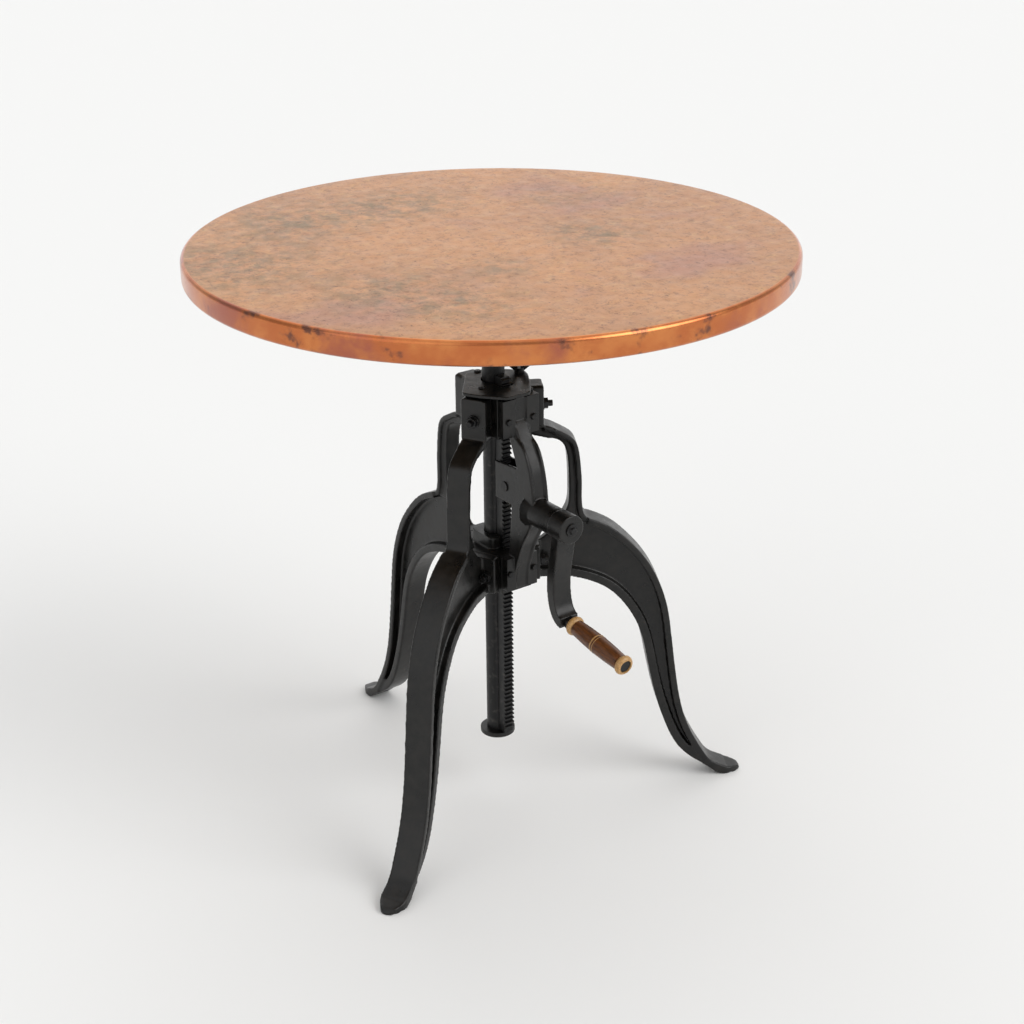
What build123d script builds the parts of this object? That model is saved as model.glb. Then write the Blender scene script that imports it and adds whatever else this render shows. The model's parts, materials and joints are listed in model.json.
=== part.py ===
from build123d import *
import os
from math import acos, ceil, cos, floor, pi, radians, sin, sqrt, tan

os.makedirs("parts", exist_ok=True)

# Crank table, millimetres. The origin is on the floor under the post's axis, +Z is up and
# the crank shaft points along -Y. "reach" below is a distance out along the crank's side (-Y).

# ---- overall sizes ----
table_diameter = 762.0
table_height = 778.0
table_thickness = 30.0
copper_gauge = 0.8
table_edge_radius = 6.0
underside_lap = 16.0

# ---- column ----
post_radius = 14.5
post_wall = 3.5
post_bottom = 91.0
stop_radius = 23.5
stop_thickness = 7.0
spider_thickness = 6.0
spider_arm_length = 210.0
spider_arm_width = 34.0
spider_socket_radius = 22.0
spider_socket_depth = 40.0
spider_rib_depth = 20.0
wood_screw_radius = 2.5
wood_screw_length = 20.0
wood_screw_offset = 9.0
set_screw_radius = 4.0

# ---- rack, pinion and worm ----
module = 2.0
addendum = 1.5
dedendum = 2.0
pressure_angle = radians(20)
pinion_teeth = 12
pinion_width = 15.0
pin_radius = 5.0
running_clearance = 0.05
rack_width = 14.0
rack_reach = 28.0
rack_bottom = 93.0
rack_top = 608.0
rack_flank_gap = 0.15
worm_pitch_radius = 8.0
worm_flank_gap = 0.35
worm_turns = 3
crank_height = 446.0

# ---- hubs ----
guide_clearance = 0.08
slot_side_gap = 0.6
slot_tip_gap = 1.0
hub_radius = 27.0
leg_face = 43.0
leg_lobe_width = 40.0
front_face = 48.0
top_hub_bottom = 536.0
top_hub_top = 594.0
low_hub_bottom = 318.0
low_hub_top = 372.0
low_collar_top = 388.0
low_collar_width = 46.0
low_collar_corner = 7.0
lobe_margin = 4.0
cap_thickness = 4.0
cap_front_reach = 66.0
cap_corner = 7.0
cap_lug_radius = 8.0
cap_screw_radius = 2.5
cap_screw_depth = 12.0

# ---- legs ----
leg_angles = {"leg_front_left": -150.0, "leg_front_right": -30.0, "leg_back": 90.0}
pad_thickness = 20.0
pad_width = 34.0
pad_top = 591.0
pad_bottom = 534.0
pad_corner = 4.0
shoulder_height = 536.5
arm_width = 31.0
arm_rib_width = 22.0
arm_flange_thickness = 7.0
web_thickness = 12.0
flange_width = 36.0
flange_thickness = 9.0
flange_end = 0.9
bead_width = 32.0
bead_height = 12.0
toe_length = 56.0
toe_rounding = 26.0
low_pad_thickness = 14.0
low_pad_width = 50.0
foot_radius = 342.0
stud_radius = 4.0
top_stud_height = 562.0
low_stud_height = 347.0
low_stud_offset = 13.0
washer_radius = 8.5
washer_thickness = 2.0
nut_flats = 13.0
nut_height = 5.0
stud_end = 6.0

# ---- gear housing ----
cheek_inner = 8.5
cheek_thickness = 4.0
ear_thickness = 12.0
lobe_gap = 0.7
ear_margin = 4.0
web_inset = 5.0
front_web = 5.0
boss_radius = 18.5
boss_flare = 3.5
boss_inner_end = 72.0
boss_root = 82.0
boss_outer_end = 138.0
bush_length = 18.0
bush_wall = 2.6
housing_screw_radius = 3.0
housing_screw_head = 4.6
housing_screw_x = 19.0
top_screw_height = 561.0
low_screw_height = 350.0

# ---- crank and grip ----
shaft_radius = 6.0
shaft_inner_end = 31.0
hub_gap = 0.8
crank_hub_radius = 19.0
crank_hub_length = 26.0
arm_bar_thickness = 14.0
arm_bar_width = 28.0
grip_droop = 8.0
grip_start_reach = 168.0
grip_start_height = 316.5
grip_length = 108.0
grip_bead_radius = 13.0
grip_neck_radius = 10.5
grip_belly_radius = 12.3
spindle_radius = 4.0

crank_bolt_radius = 3.0
crank_bolt_depth = 14.0
crank_bolt_head = 5.0
crank_washer_radius = 8.5
shaft_collar_radius = 10.0
shaft_collar_length = 8.0
collar_gap = 0.5
plug_depth = 5.0
end_play = 0.3
axle_head_radius = 8.0
axle_head_height = 3.5
axle_nut_flats = 17.0
axle_nut_height = 6.0

# ---- wing screw on the cap ----
wing_x = 43.0
wing_y = 3.0
wing_shank_radius = 3.0
wing_shank_length = 24.0
wing_span = 30.0
wing_tip_radius = 5.5
wing_thickness = 3.0
wing_hub_radius = 6.5
wing_hub_height = 6.0
wing_lift = 0.1
wing_turn = -35.0

# ---- worked-out values ----
pitch = pi * module
pinion_radius = module * pinion_teeth / 2
base_radius = pinion_radius * cos(pressure_angle)
pinion_reach = rack_reach + pinion_radius
pinion_height = crank_height + worm_pitch_radius + pinion_radius
rack_tip = rack_reach + addendum
rack_root = rack_reach - dedendum
rack_back = sqrt(post_radius**2 - (rack_width / 2 + 0.3) ** 2)
worm_tip = worm_pitch_radius + addendum
worm_root = worm_pitch_radius - dedendum
slot_half = rack_width / 2 + slot_side_gap
slot_end = rack_tip + slot_tip_gap
cheek_outer = cheek_inner + cheek_thickness
housing_face = front_face + ear_thickness
pad_face = leg_face + pad_thickness
low_pad_face = leg_face + low_pad_thickness
low_pad_bottom = low_hub_bottom + lobe_margin
toe_start = foot_radius - toe_length
housing_top = top_hub_top - ear_margin
housing_bottom = low_hub_bottom + 2 * ear_margin
web_reach = housing_face - web_inset
top_ear_half = leg_face * cos(radians(30)) - pad_width / 2 * sin(radians(30)) - lobe_gap
low_ear_half = leg_face * cos(radians(30)) - low_pad_width / 2 * sin(radians(30)) - lobe_gap
bush_radius = shaft_radius + running_clearance + bush_wall
table_radius = table_diameter / 2
table_bottom = table_height - table_thickness
core_bottom = table_bottom + copper_gauge
post_top = core_bottom - spider_thickness
cap_bottom = top_hub_top
cap_top = cap_bottom + cap_thickness
crank_hub_start = boss_outer_end + hub_gap
crank_hub_end = crank_hub_start + crank_hub_length

# Local x of this plane runs out along the crank's side and local y is up.
reach_plane = Plane(origin=(0, 0, 0), x_dir=(0, -1, 0), z_dir=(-1, 0, 0))


def leg_direction(angle):
    return Vector(cos(radians(angle)), sin(radians(angle)), 0)


def radial_plane(angle, reach, height, shift=0.0):
    """A plane facing outward at this angle round the post, for round pieces laid radially."""
    out = leg_direction(angle)
    across = Vector(-out.Y, out.X, 0)
    return Plane(origin=out * reach + across * shift + Vector(0, 0, height), x_dir=across, z_dir=out)


def lobe(angle, reach, width, corner=0.5):
    """A flat bar from the axis out to a reach, turned to this angle."""
    with BuildSketch() as flat:
        with Locations(leg_direction(angle) * (reach / 2)):
            RectangleRounded(reach, width, corner, rotation=angle)
    return flat.sketch


# Every stud that holds a leg: its angle, height and sideways offset, and the face it clamps.
stud_places = []
for angle in leg_angles.values():
    stud_places.append((angle, top_stud_height, 0.0, pad_face))
    for side in (-low_stud_offset, low_stud_offset):
        stud_places.append((angle, low_stud_height, side, low_pad_face))

# Every screw that holds the gear housing: its x and its height.
housing_places = []
for height in (top_screw_height, low_screw_height):
    housing_places += [(-housing_screw_x, height), (housing_screw_x, height)]

# Where the screws go down through the cap, and up through the spider into the round top.
cap_spots = [leg_direction(angle) * ((hub_radius + leg_face) / 2) for angle in (-150, 90)]
spider_angles = (45, 135, 225, 315)
top_spots = []
for angle in spider_angles:
    for reach in (spider_arm_length - 15, spider_arm_length - 90):
        top_spots.append(leg_direction(angle) * reach + leg_direction(angle + 90) * wood_screw_offset)

# ================= legs =================
# One leg is drawn along +X and turned to its three places.
with BuildSketch(Plane.XZ) as leg_outline:
    with BuildLine():
        Polyline((leg_face, pad_top), (pad_face, pad_top), (pad_face, shoulder_height))
        shoulder = Spline(
            (pad_face, shoulder_height),
            (84, 528),
            (102, 516),
            (110, 492),
            (113, 448),
            (114, 419),
            tangents=[(1, -0.1), (0.1, -1)],
        )
        crotch = Spline((114, 419), (122, 404), tangents=[(0.1, -1), (1, -0.4)])
        knee = Spline(
            (122, 404),
            (150, 391),
            (176, 369),
            (foot_radius - 142, 340),
            (foot_radius - 124, 306),
            (foot_radius - 112, 268),
            (foot_radius - 105, 222),
            (foot_radius - 97, 160),
            (foot_radius - 85, 101),
            (foot_radius - 70, 64),
            (foot_radius - 54, 36),
            (foot_radius - 38, 19),
            (foot_radius - 22, 11.5),
            (foot_radius - 8, 8),
            tangents=[(1, -0.4), (1, -0.2)],
        )
        Spline((foot_radius - 8, 8), (foot_radius, 0), tangents=[(1, -0.2), (0, -1)])
        Line((foot_radius, 0), (foot_radius - 26, 0))
        arch = Spline(
            (foot_radius - 26, 0),
            (foot_radius - 44, 10),
            (foot_radius - 70, 28),
            (foot_radius - 92, 50),
            (foot_radius - 110, 86),
            (foot_radius - 124, 128),
            (foot_radius - 138, 190),
            (foot_radius - 150, 238),
            (172, 275),
            (140, 305),
            (104, 319),
            (low_pad_face, low_pad_bottom),
            tangents=[(-1, 0.1), (-1, 0)],
        )
        Polyline(
            (low_pad_face, low_pad_bottom),
            (leg_face, low_pad_bottom),
            (leg_face, low_hub_top),
            (low_pad_face, low_hub_top),
        )
        Spline((low_pad_face, low_hub_top), (74, 386), (92, 414), (96.5, 436), tangents=[(1, 0.5), (0, 1)])
        Spline((96.5, 436), (95, 484), (89, 508), (70, 517), tangents=[(0, 1), (-1, 0)])
        Polyline((70, 517), (leg_face, 524), (leg_face, pad_top))
    make_face()

# The outer flange follows the knee down to where the toe is solid.
rim_points = []
for step in range(25):
    share = flange_end * step / 24
    way = knee % share
    rim_points.append(knee @ share + Vector(way.Y, -way.X, 0) * flange_thickness)

with BuildSketch(Plane.XZ) as flange_outline:
    with BuildLine():
        add(knee.trim(0, flange_end))
        rim = Spline(*rim_points)
        Line(knee @ 0, rim @ 0)
        Line(knee @ flange_end, rim @ 1)
    make_face()

with BuildSketch(Plane.XZ) as bead_outline:
    with BuildLine():
        add(arch)
    trace(line_width=2 * bead_height)
    add(leg_outline.sketch, mode=Mode.INTERSECT)

with BuildSketch(Plane.XZ) as arm_outline:
    with Locations((leg_face, 400)):
        Rectangle(100, 200, align=(Align.MIN, Align.MIN))
    add(leg_outline.sketch, mode=Mode.INTERSECT)

with BuildSketch(Plane.XZ) as arm_flange_outline:
    with BuildLine():
        add(shoulder)
        add(crotch)
    trace(line_width=2 * arm_flange_thickness)
    add(arm_outline.sketch, mode=Mode.INTERSECT)

with BuildSketch(Plane.XZ) as toe_outline:
    with Locations((toe_start, 0)):
        Rectangle(toe_length, 60, align=(Align.MIN, Align.MIN))
    add(leg_outline.sketch, mode=Mode.INTERSECT)

# Seen from above the leg keeps one width all the way to its round-ended toe.
with BuildSketch() as leg_plan:
    with BuildLine():
        Polyline(
            (0, 0),
            (0, low_pad_width),
            (toe_start, low_pad_width),
            (toe_start, flange_width / 2),
            (foot_radius - toe_rounding, flange_width / 2),
        )
        Spline(
            (foot_radius - toe_rounding, flange_width / 2),
            (foot_radius - toe_rounding / 3, flange_width / 3),
            (foot_radius, 0),
            tangents=[(1, 0), (0, -1)],
        )
        mirror(about=Plane.XZ)
    make_face()

with BuildPart() as leg:
    extrude(leg_outline.sketch, amount=web_thickness / 2, both=True)
    extrude(flange_outline.sketch, amount=flange_width / 2, both=True)
    extrude(bead_outline.sketch, amount=bead_width / 2, both=True)
    extrude(arm_outline.sketch, amount=arm_rib_width / 2, both=True)
    extrude(arm_flange_outline.sketch, amount=arm_width / 2, both=True)
    extrude(toe_outline.sketch, amount=flange_width / 2, both=True)
    extrude(leg_plan.sketch, amount=pad_top, mode=Mode.INTERSECT)
    with BuildSketch(radial_plane(0, leg_face, (pad_top + pad_bottom) / 2)):
        RectangleRounded(pad_width, pad_top - pad_bottom, pad_corner)
    extrude(amount=pad_thickness)
    with BuildSketch(radial_plane(0, leg_face, (low_hub_top + low_pad_bottom) / 2)):
        RectangleRounded(low_pad_width, low_hub_top - low_pad_bottom, pad_corner)
    extrude(amount=low_pad_thickness)
    for angle, height, shift, face in stud_places[:3]:
        with BuildSketch(radial_plane(0, leg_face, height, shift)):
            Circle(stud_radius)
        extrude(amount=face - leg_face, mode=Mode.SUBTRACT)

for name, angle in leg_angles.items():
    turned_leg = leg.part.rotate(Axis.Z, angle)
    turned_leg.label = name
    export_step(turned_leg, f"parts/{name}.step")


# ================= hubs =================
def hub_outline(leg_width, front_width):
    """Barrel, three leg lobes and the gear housing's lobe, seen from above."""
    with BuildSketch() as flat:
        Circle(hub_radius)
        for angle in leg_angles.values():
            add(lobe(angle, leg_face, leg_width))
        add(lobe(-90, front_face, front_width))
    return flat.sketch


with BuildSketch() as column_hole:
    Circle(post_radius + guide_clearance)
    with Locations((0, -slot_end / 2)):
        Rectangle(2 * slot_half, slot_end)

with BuildPart() as top_hub:
    with BuildSketch(Plane.XY.offset(top_hub_bottom)):
        add(hub_outline(leg_lobe_width, 2 * top_ear_half))
    extrude(amount=top_hub_top - top_hub_bottom)
    with BuildSketch(Plane.XY.offset(top_hub_bottom)):
        with Locations((wing_x, wing_y)):
            Circle(cap_lug_radius)
        with Locations((wing_x / 2, wing_y)):
            Rectangle(wing_x, 2 * cap_lug_radius)
    extrude(amount=top_hub_top - top_hub_bottom)
    with BuildSketch(Plane.XY.offset(top_hub_bottom)):
        add(column_hole.sketch)
    extrude(amount=top_hub_top - top_hub_bottom, mode=Mode.SUBTRACT)
    for angle, height, shift, face in stud_places:
        if height == top_stud_height:
            with BuildSketch(radial_plane(angle, hub_radius, height, shift)):
                Circle(stud_radius)
            extrude(amount=face - hub_radius, mode=Mode.SUBTRACT)
    for x, height in housing_places:
        if height == top_screw_height:
            with BuildSketch(radial_plane(-90, hub_radius + 8, height, x)):
                Circle(housing_screw_radius)
            extrude(amount=front_face, mode=Mode.SUBTRACT)
    with BuildSketch(Plane.XY.offset(top_hub_top)):
        with Locations((wing_x, wing_y)):
            Circle(wing_shank_radius + running_clearance)
    extrude(amount=-wing_shank_length, mode=Mode.SUBTRACT)
    with BuildSketch(Plane.XY.offset(top_hub_top)):
        with Locations(*cap_spots):
            Circle(cap_screw_radius)
    extrude(amount=-cap_screw_depth, mode=Mode.SUBTRACT)
top_hub.part.label = "top_hub"
export_step(top_hub.part, "parts/top_hub.step")

with BuildPart() as low_hub:
    with BuildSketch(Plane.XY.offset(low_hub_bottom)):
        add(hub_outline(low_pad_width - 2, 2 * low_ear_half))
    extrude(amount=low_hub_top - low_hub_bottom)
    with BuildSketch(Plane.XY.offset(low_hub_top)):
        RectangleRounded(low_collar_width, low_collar_width, low_collar_corner)
    extrude(amount=low_collar_top - low_hub_top)
    with BuildSketch(Plane.XY.offset(low_hub_bottom)):
        add(column_hole.sketch)
    extrude(amount=low_collar_top - low_hub_bottom, mode=Mode.SUBTRACT)
    for angle, height, shift, face in stud_places:
        if height == low_stud_height:
            with BuildSketch(radial_plane(angle, hub_radius, height, shift)):
                Circle(stud_radius)
            extrude(amount=face - hub_radius, mode=Mode.SUBTRACT)
    for x, height in housing_places:
        if height == low_screw_height:
            with BuildSketch(radial_plane(-90, hub_radius + 8, height, x)):
                Circle(housing_screw_radius)
            extrude(amount=front_face, mode=Mode.SUBTRACT)
low_hub.part.label = "low_hub"
export_step(low_hub.part, "parts/low_hub.step")

with BuildPart() as cap_plate:
    with BuildSketch(Plane.XY.offset(cap_bottom)):
        add(lobe(-150, pad_face - 1, pad_width, cap_corner))
        add(lobe(-30, leg_face + 3, leg_lobe_width, cap_corner))
        add(lobe(90, leg_face - 4, leg_lobe_width, cap_corner))
        with Locations((-8, -cap_front_reach / 2)):
            RectangleRounded(44, cap_front_reach, cap_corner)
        with Locations((wing_x, wing_y)):
            Circle(cap_lug_radius)
        make_hull()
    extrude(amount=cap_thickness)
    with BuildSketch(Plane.XY.offset(cap_bottom)):
        add(column_hole.sketch)
        offset(amount=1.5, kind=Kind.INTERSECTION)
    extrude(amount=cap_thickness, mode=Mode.SUBTRACT)
    with BuildSketch(Plane.XY.offset(cap_bottom)):
        with Locations((wing_x, wing_y)):
            Circle(wing_shank_radius + running_clearance)
        with Locations(*cap_spots):
            Circle(cap_screw_radius)
    extrude(amount=cap_thickness, mode=Mode.SUBTRACT)
cap_plate.part.label = "cap_plate"
export_step(cap_plate.part, "parts/cap_plate.step")

with BuildPart() as cap_screws:
    with BuildSketch(Plane.XY.offset(cap_top)):
        with Locations(*cap_spots):
            Circle(cap_screw_radius)
    extrude(amount=-cap_screw_depth - cap_thickness)
    with BuildSketch(Plane.XY.offset(cap_top)):
        with Locations(*cap_spots):
            Circle(cap_screw_radius * 1.9)
    extrude(amount=2, taper=20)
cap_screws.part.label = "cap_screws"
export_step(cap_screws.part, "parts/cap_screws.step")

# ================= gear housing =================
with BuildSketch(reach_plane) as cheek_outline:
    with BuildLine():
        Line((housing_face, housing_bottom), (housing_face, crank_height - 108))
        Spline(
            (housing_face, crank_height - 108),
            (housing_face + 8, crank_height - 74),
            (housing_face + 15, crank_height - 55),
            (housing_face + 33, crank_height - 22),
            (housing_face + 40, crank_height),
            (housing_face + 39, crank_height + 30),
            (housing_face + 32, crank_height + 60),
            (housing_face + 17, crank_height + 86),
            (housing_face, crank_height + 112),
            tangents=[(0, 1), (0, 1)],
        )
        Polyline(
            (housing_face, crank_height + 112),
            (housing_face, housing_top),
            (front_face, housing_top),
            (front_face, top_hub_bottom + ear_margin),
        )
        Spline(
            (front_face, top_hub_bottom + ear_margin),
            (front_face + 16, crank_height + 60),
            (front_face + 24, crank_height + 38),
        )
        Polyline(
            (front_face + 24, crank_height + 38),
            (front_face + 6, crank_height - 2),
            (front_face, low_hub_top),
            (front_face, housing_bottom),
            (housing_face, housing_bottom),
        )
    make_face()

with BuildSketch(reach_plane) as block_outline:
    with BuildLine():
        Polyline(
            (slot_end - 11.5, crank_height - 1),
            (front_face + 30, crank_height - 1),
            (front_face + 30, pinion_height + 34),
            (slot_end - 11.5, pinion_height + 29),
            close=True,
        )
    make_face()

with BuildSketch(reach_plane) as web_band:
    with BuildLine():
        Spline(
            (web_reach, housing_bottom),
            (web_reach, crank_height - 108),
            (web_reach + 8, crank_height - 74),
            (web_reach + 15, crank_height - 54),
            (web_reach + 33, crank_height - 22),
            (web_reach + 40, crank_height),
            (web_reach + 39, crank_height + 30),
            (web_reach + 32, crank_height + 58),
            (web_reach + 17, crank_height + 84),
            (web_reach, crank_height + 112),
            (web_reach, housing_top),
            tangents=[(0, 1), (0, 1)],
        )
    trace(line_width=front_web)

with BuildPart() as gear_housing:
    # Two cheek plates with a block each side of the pinion, joined by the front web.
    extrude(cheek_outline.sketch, amount=cheek_outer, both=True)
    extrude(block_outline.sketch, amount=cheek_outer, both=True)
    extrude(cheek_outline.sketch, amount=cheek_inner, both=True, mode=Mode.SUBTRACT)
    extrude(block_outline.sketch, amount=cheek_inner, both=True, mode=Mode.SUBTRACT)
    extrude(web_band.sketch, amount=cheek_inner + 1, both=True)
    # Ears, one each side at top and bottom.
    for bottom, top, half in (
        (top_hub_bottom + ear_margin, housing_top, top_ear_half),
        (housing_bottom, low_hub_top, low_ear_half),
    ):
        for side in (-1, 1):
            with BuildSketch(Plane.XY.offset(bottom)):
                with Locations((side * (half + cheek_inner) / 2, -front_face)):
                    Rectangle(half - cheek_inner, ear_thickness, align=(Align.CENTER, Align.MAX))
            extrude(amount=top - bottom)
    # Crank boss, flared at its root and bored for its two bushes.
    with BuildSketch(radial_plane(-90, boss_inner_end, crank_height)):
        Circle(cheek_outer)
    extrude(amount=boss_outer_end - boss_inner_end)
    with BuildSketch(radial_plane(-90, boss_root, crank_height)):
        Circle(boss_radius)
    extrude(amount=boss_outer_end - boss_root)
    with BuildSketch(radial_plane(-90, boss_root, crank_height)):
        Circle(boss_radius + boss_flare)
    extrude(amount=4.5 * boss_flare, taper=14)
    with BuildSketch(radial_plane(-90, boss_inner_end, crank_height)):
        Circle(bush_radius)
    extrude(amount=boss_outer_end - boss_inner_end, mode=Mode.SUBTRACT)
    # Clearance for the worm between the cheeks.
    with BuildSketch(radial_plane(-90, front_face - 30, crank_height)):
        Circle(worm_tip + 0.8)
    extrude(amount=boss_inner_end - front_face + 30, mode=Mode.SUBTRACT)
    # Pin bore.
    with BuildSketch(Plane(origin=(-cheek_outer, -pinion_reach, pinion_height), z_dir=(1, 0, 0))):
        Circle(pin_radius)
    extrude(amount=2 * cheek_outer, mode=Mode.SUBTRACT)
    for x, height in housing_places:
        with BuildSketch(radial_plane(-90, front_face, height, x)):
            Circle(housing_screw_radius)
        extrude(amount=ear_thickness, mode=Mode.SUBTRACT)
gear_housing.part.label = "gear_housing"
export_step(gear_housing.part, "parts/gear_housing.step")

with BuildPart() as boss_bushes:
    for start in (boss_inner_end, boss_outer_end - bush_length):
        with BuildSketch(radial_plane(-90, start, crank_height)):
            Circle(bush_radius)
            Circle(shaft_radius + running_clearance, mode=Mode.SUBTRACT)
        extrude(amount=bush_length)
boss_bushes.part.label = "boss_bushes"
export_step(boss_bushes.part, "parts/boss_bushes.step")

with BuildPart() as pinion_pin:
    with BuildSketch(Plane(origin=(-cheek_outer, -pinion_reach, pinion_height), z_dir=(1, 0, 0))):
        Circle(pin_radius)
    extrude(amount=2 * cheek_outer)
    with BuildSketch(Plane(origin=(-cheek_outer, -pinion_reach, pinion_height), z_dir=(-1, 0, 0))):
        Circle(pin_radius + 1.5)
    extrude(amount=1.5)
pinion_pin.part.label = "pinion_pin"
export_step(pinion_pin.part, "parts/pinion_pin.step")

# ================= fasteners of the frame =================
with BuildPart() as leg_studs:
    for angle, height, shift, face in stud_places:
        with BuildSketch(radial_plane(angle, hub_radius + 2, height, shift)):
            Circle(stud_radius)
        extrude(amount=face - hub_radius - 2 + washer_thickness + nut_height + stud_end)
leg_studs.part.label = "leg_studs"
export_step(leg_studs.part, "parts/leg_studs.step")

with BuildPart() as leg_washers:
    for angle, height, shift, face in stud_places:
        with BuildSketch(radial_plane(angle, face, height, shift)):
            Circle(washer_radius if shift == 0 else nut_flats / 2)
            Circle(stud_radius, mode=Mode.SUBTRACT)
        extrude(amount=washer_thickness)
leg_washers.part.label = "leg_washers"
export_step(leg_washers.part, "parts/leg_washers.step")

with BuildPart() as leg_nuts:
    for angle, height, shift, face in stud_places:
        with BuildSketch(radial_plane(angle, face + washer_thickness, height, shift)):
            RegularPolygon(nut_flats / 2, 6, major_radius=False, rotation=30)
            Circle(stud_radius, mode=Mode.SUBTRACT)
        extrude(amount=nut_height)
leg_nuts.part.label = "leg_nuts"
export_step(leg_nuts.part, "parts/leg_nuts.step")

with BuildPart() as housing_screws:
    for x, height in housing_places:
        with BuildSketch(radial_plane(-90, hub_radius + 8, height, x)):
            Circle(housing_screw_radius)
        extrude(amount=housing_face - hub_radius - 8)
        with BuildSketch(radial_plane(-90, housing_face, height, x)):
            Circle(housing_screw_head)
        extrude(amount=3, taper=15)
housing_screws.part.label = "housing_screws"
export_step(housing_screws.part, "parts/housing_screws.step")

# ================= column =================
with BuildPart() as post:
    with BuildSketch(Plane.XY.offset(post_bottom)):
        Circle(post_radius)
        Circle(post_radius - post_wall, mode=Mode.SUBTRACT)
    extrude(amount=post_top - post_bottom)
    # Flat along one side that the rack is welded to.
    with BuildSketch(Plane.XY.offset(post_bottom)):
        with Locations((0, -rack_back)):
            Rectangle(2 * post_radius, 2 * post_radius, align=(Align.CENTER, Align.MAX))
    extrude(amount=rack_top - post_bottom, mode=Mode.SUBTRACT)
post.part.label = "post"
export_step(post.part, "parts/post.step")

# The rack's teeth are counted from the one level with the pinion.
first_tooth = ceil((rack_bottom + pitch / 2 - pinion_height) / pitch)
last_tooth = floor((rack_top - pitch / 2 - pinion_height) / pitch)
tooth_half = pitch / 4 - rack_flank_gap
tip_half = tooth_half - addendum * tan(pressure_angle)
root_half = tooth_half + dedendum * tan(pressure_angle)
rack_points = [(rack_back, rack_bottom), (rack_root, rack_bottom)]
for tooth in range(first_tooth, last_tooth + 1):
    middle = pinion_height + tooth * pitch
    rack_points += [
        (rack_root, middle - root_half),
        (rack_tip, middle - tip_half),
        (rack_tip, middle + tip_half),
        (rack_root, middle + root_half),
    ]
rack_points += [(rack_root, rack_top), (rack_back, rack_top)]

with BuildPart() as rack:
    with BuildSketch(reach_plane):
        with BuildLine():
            Polyline(*rack_points, close=True)
        make_face()
    extrude(amount=rack_width / 2, both=True)
rack.part.label = "rack"
export_step(rack.part, "parts/rack.step")

with BuildPart() as stop_flange:
    with BuildSketch(Plane.XY.offset(post_bottom)):
        Circle(stop_radius)
    extrude(amount=-stop_thickness)
    with BuildSketch(Plane.XY.offset(post_bottom)):
        Circle(post_radius - post_wall)
    extrude(amount=12)
    fillet(stop_flange.faces().sort_by(Axis.Z)[0].edges(), 1.5)
stop_flange.part.label = "stop_flange"
export_step(stop_flange.part, "parts/stop_flange.step")

with BuildPart() as spider:
    with BuildSketch(Plane.XY.offset(post_top)):
        Circle(spider_socket_radius + 14)
        for angle in spider_angles:
            add(lobe(angle, spider_arm_length, spider_arm_width))
    extrude(amount=spider_thickness)
    with BuildSketch(Plane.XY.offset(post_top)):
        Circle(spider_socket_radius)
    extrude(amount=-spider_socket_depth)
    for angle in spider_angles:
        rib_plane = Plane(origin=(0, 0, post_top), x_dir=leg_direction(angle), z_dir=leg_direction(angle - 90))
        with BuildSketch(rib_plane):
            with BuildLine():
                Polyline(
                    (0, 0),
                    (spider_arm_length - 10, 0),
                    (spider_socket_radius, -spider_rib_depth),
                    (0, -spider_rib_depth),
                    close=True,
                )
            make_face()
        extrude(amount=3, both=True)
    with BuildSketch(Plane.XY.offset(post_top)):
        Circle(post_radius)
    extrude(amount=-spider_socket_depth, mode=Mode.SUBTRACT)
    with BuildSketch(Plane.XY.offset(post_top)):
        with Locations(*top_spots):
            Circle(wood_screw_radius)
    extrude(amount=spider_thickness, mode=Mode.SUBTRACT)
    with BuildSketch(radial_plane(0, post_radius / 2, post_top - spider_socket_depth / 2)):
        Circle(set_screw_radius)
    extrude(amount=spider_socket_radius, mode=Mode.SUBTRACT)
spider.part.label = "spider"
export_step(spider.part, "parts/spider.step")

with BuildPart() as spider_set_screw:
    with BuildSketch(radial_plane(0, post_radius, post_top - spider_socket_depth / 2)):
        Circle(set_screw_radius)
    extrude(amount=spider_socket_radius - post_radius + 1)
spider_set_screw.part.label = "spider_set_screw"
export_step(spider_set_screw.part, "parts/spider_set_screw.step")

with BuildPart() as top_screws:
    with BuildSketch(Plane.XY.offset(post_top)):
        with Locations(*top_spots):
            Circle(wood_screw_radius)
    extrude(amount=wood_screw_length)
    with BuildSketch(Plane.XY.offset(post_top)):
        with Locations(*top_spots):
            Circle(wood_screw_radius * 2)
    extrude(amount=-2.5, taper=20)
top_screws.part.label = "top_screws"
export_step(top_screws.part, "parts/top_screws.step")


def table_section(skin):
    """Half section of the round top, drawn in from its outer surface by this much."""
    edge = table_radius - skin
    low = table_bottom + skin
    high = table_height - skin
    bend = table_edge_radius - skin
    with BuildSketch(Plane.XZ) as section:
        with BuildLine():
            Polyline((0, low), (edge - bend, low))
            RadiusArc((edge - bend, low), (edge, low + bend), -bend)
            Line((edge, low + bend), (edge, high - bend))
            RadiusArc((edge, high - bend), (edge - bend, high), -bend)
            Polyline((edge - bend, high), (0, high), (0, low))
        make_face()
    return section.sketch


with BuildPart() as table_core:
    revolve(table_section(copper_gauge), axis=Axis.Z)
    with BuildSketch(Plane.XY.offset(core_bottom)):
        with Locations(*top_spots):
            Circle(wood_screw_radius)
    extrude(amount=wood_screw_length - spider_thickness, mode=Mode.SUBTRACT)
table_core.part.label = "table_core"
export_step(table_core.part, "parts/table_core.step")

with BuildPart() as copper_sheet:
    revolve(table_section(0), axis=Axis.Z)
    revolve(table_section(copper_gauge), axis=Axis.Z, mode=Mode.SUBTRACT)
    with BuildSketch(Plane.XY.offset(table_bottom)):
        Circle(table_radius - underside_lap)
    extrude(amount=copper_gauge, mode=Mode.SUBTRACT)
copper_sheet.part.label = "copper_sheet"
export_step(copper_sheet.part, "parts/copper_sheet.step")


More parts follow.
